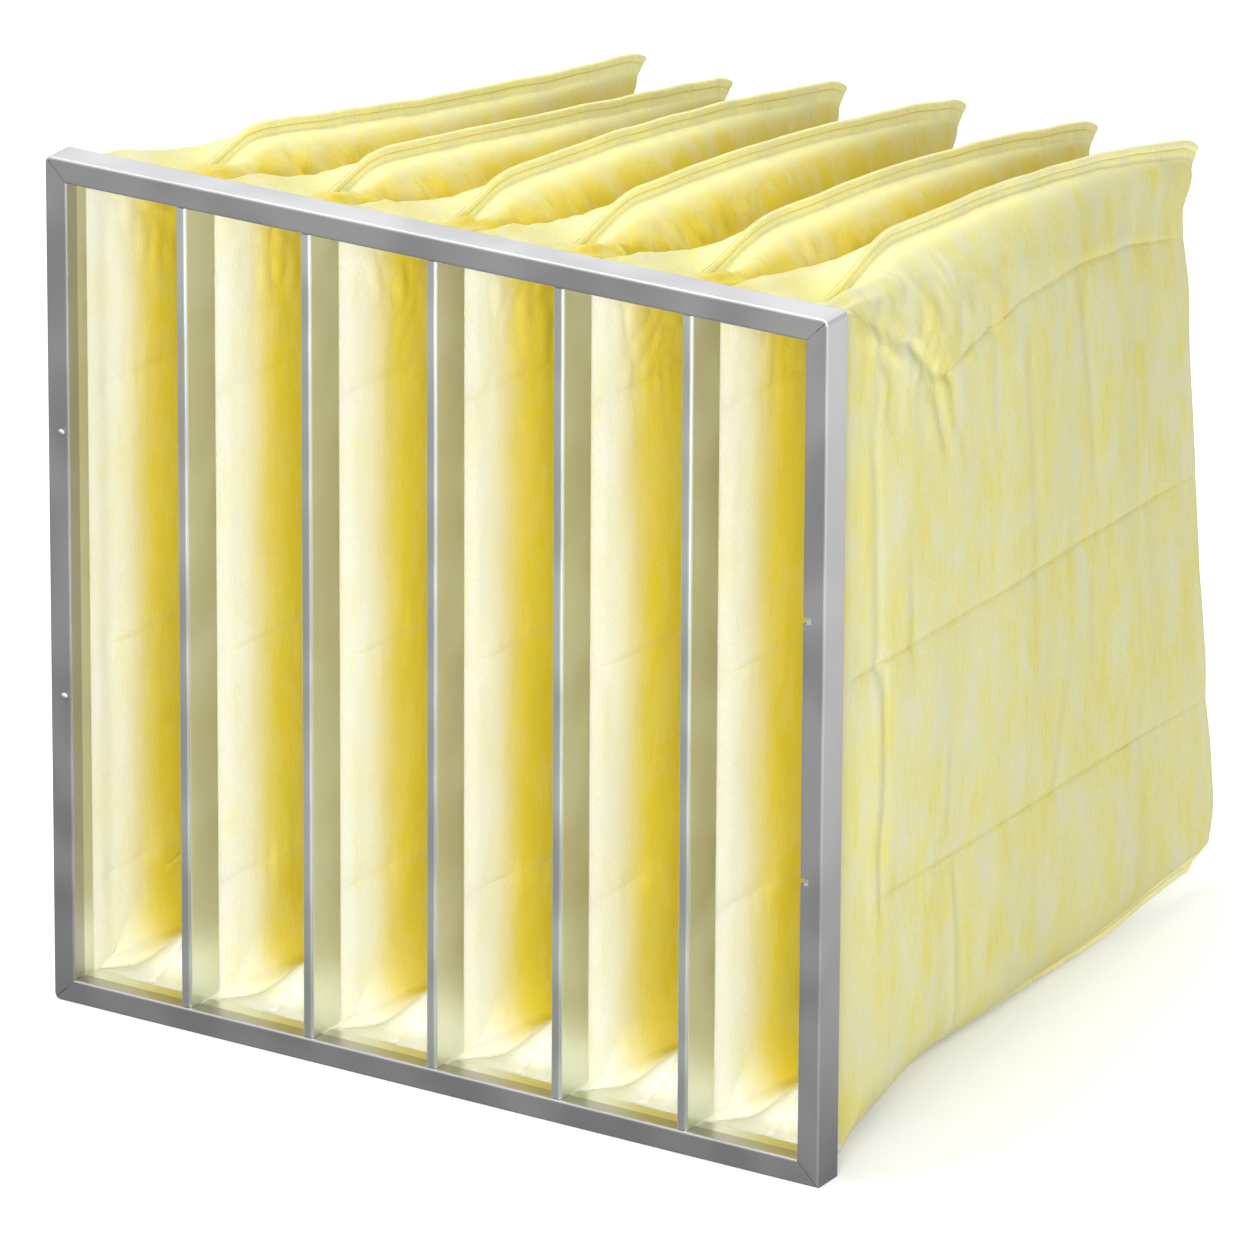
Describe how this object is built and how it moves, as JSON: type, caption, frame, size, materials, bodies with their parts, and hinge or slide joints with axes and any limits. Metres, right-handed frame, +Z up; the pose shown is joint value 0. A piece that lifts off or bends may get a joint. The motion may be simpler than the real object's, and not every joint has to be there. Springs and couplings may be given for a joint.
{
  "type": "bag air filter",
  "caption": "Bag air filter: a square folded-steel header with upright separators that holds a row of deep sewn glass-fibre pockets, open at the front and tapering to the back.",
  "frame": {"origin": "on the ground, under the middle of the filter's bounding box", "axes": "+Z up, +Y from the header's front face towards the pockets' back folds, so the air flows along +Y, +X to the right seen from the front"},
  "size_m": [0.592, 0.602, 0.592],
  "materials": {
    "header_steel": "galvanised sheet, satin, with fine rolling lines",
    "strip_steel": "galvanised strip, smooth, slightly bluish",
    "rivet_steel": "bright dome rivets",
    "filter_media": "pale yellow glass-fibre fleece, matte, mottled with whiter and yellower fibres",
    "stitching": "matte sewing thread"
  },
  "bodies": {
    "root": {"header_frame": "header_steel", "clamp_ring": "strip_steel", "rivet_1": "rivet_steel", "rivet_2": "rivet_steel", "separator_1": "strip_steel", "separator_2": "strip_steel", "separator_3": "strip_steel", "separator_4": "strip_steel", "separator_5": "strip_steel", "pocket_1": "filter_media", "seam_thread_top_1": "stitching", "seam_thread_bottom_1": "stitching", "spacer_thread_1_1": "stitching", "spacer_thread_1_2": "stitching", "spacer_thread_1_3": "stitching", "pocket_2": "filter_media", "seam_thread_top_2": "stitching", "seam_thread_bottom_2": "stitching", "spacer_thread_2_1": "stitching", "spacer_thread_2_2": "stitching", "spacer_thread_2_3": "stitching", "pocket_3": "filter_media", "seam_thread_top_3": "stitching", "seam_thread_bottom_3": "stitching", "spacer_thread_3_1": "stitching", "spacer_thread_3_2": "stitching", "spacer_thread_3_3": "stitching", "pocket_4": "filter_media", "seam_thread_top_4": "stitching", "seam_thread_bottom_4": "stitching", "spacer_thread_4_1": "stitching", "spacer_thread_4_2": "stitching", "spacer_thread_4_3": "stitching", "pocket_5": "filter_media", "seam_thread_top_5": "stitching", "seam_thread_bottom_5": "stitching", "spacer_thread_5_1": "stitching", "spacer_thread_5_2": "stitching", "spacer_thread_5_3": "stitching", "pocket_6": "filter_media", "seam_thread_top_6": "stitching", "seam_thread_bottom_6": "stitching", "spacer_thread_6_1": "stitching", "spacer_thread_6_2": "stitching", "spacer_thread_6_3": "stitching"}
  },
  "joints": []
}
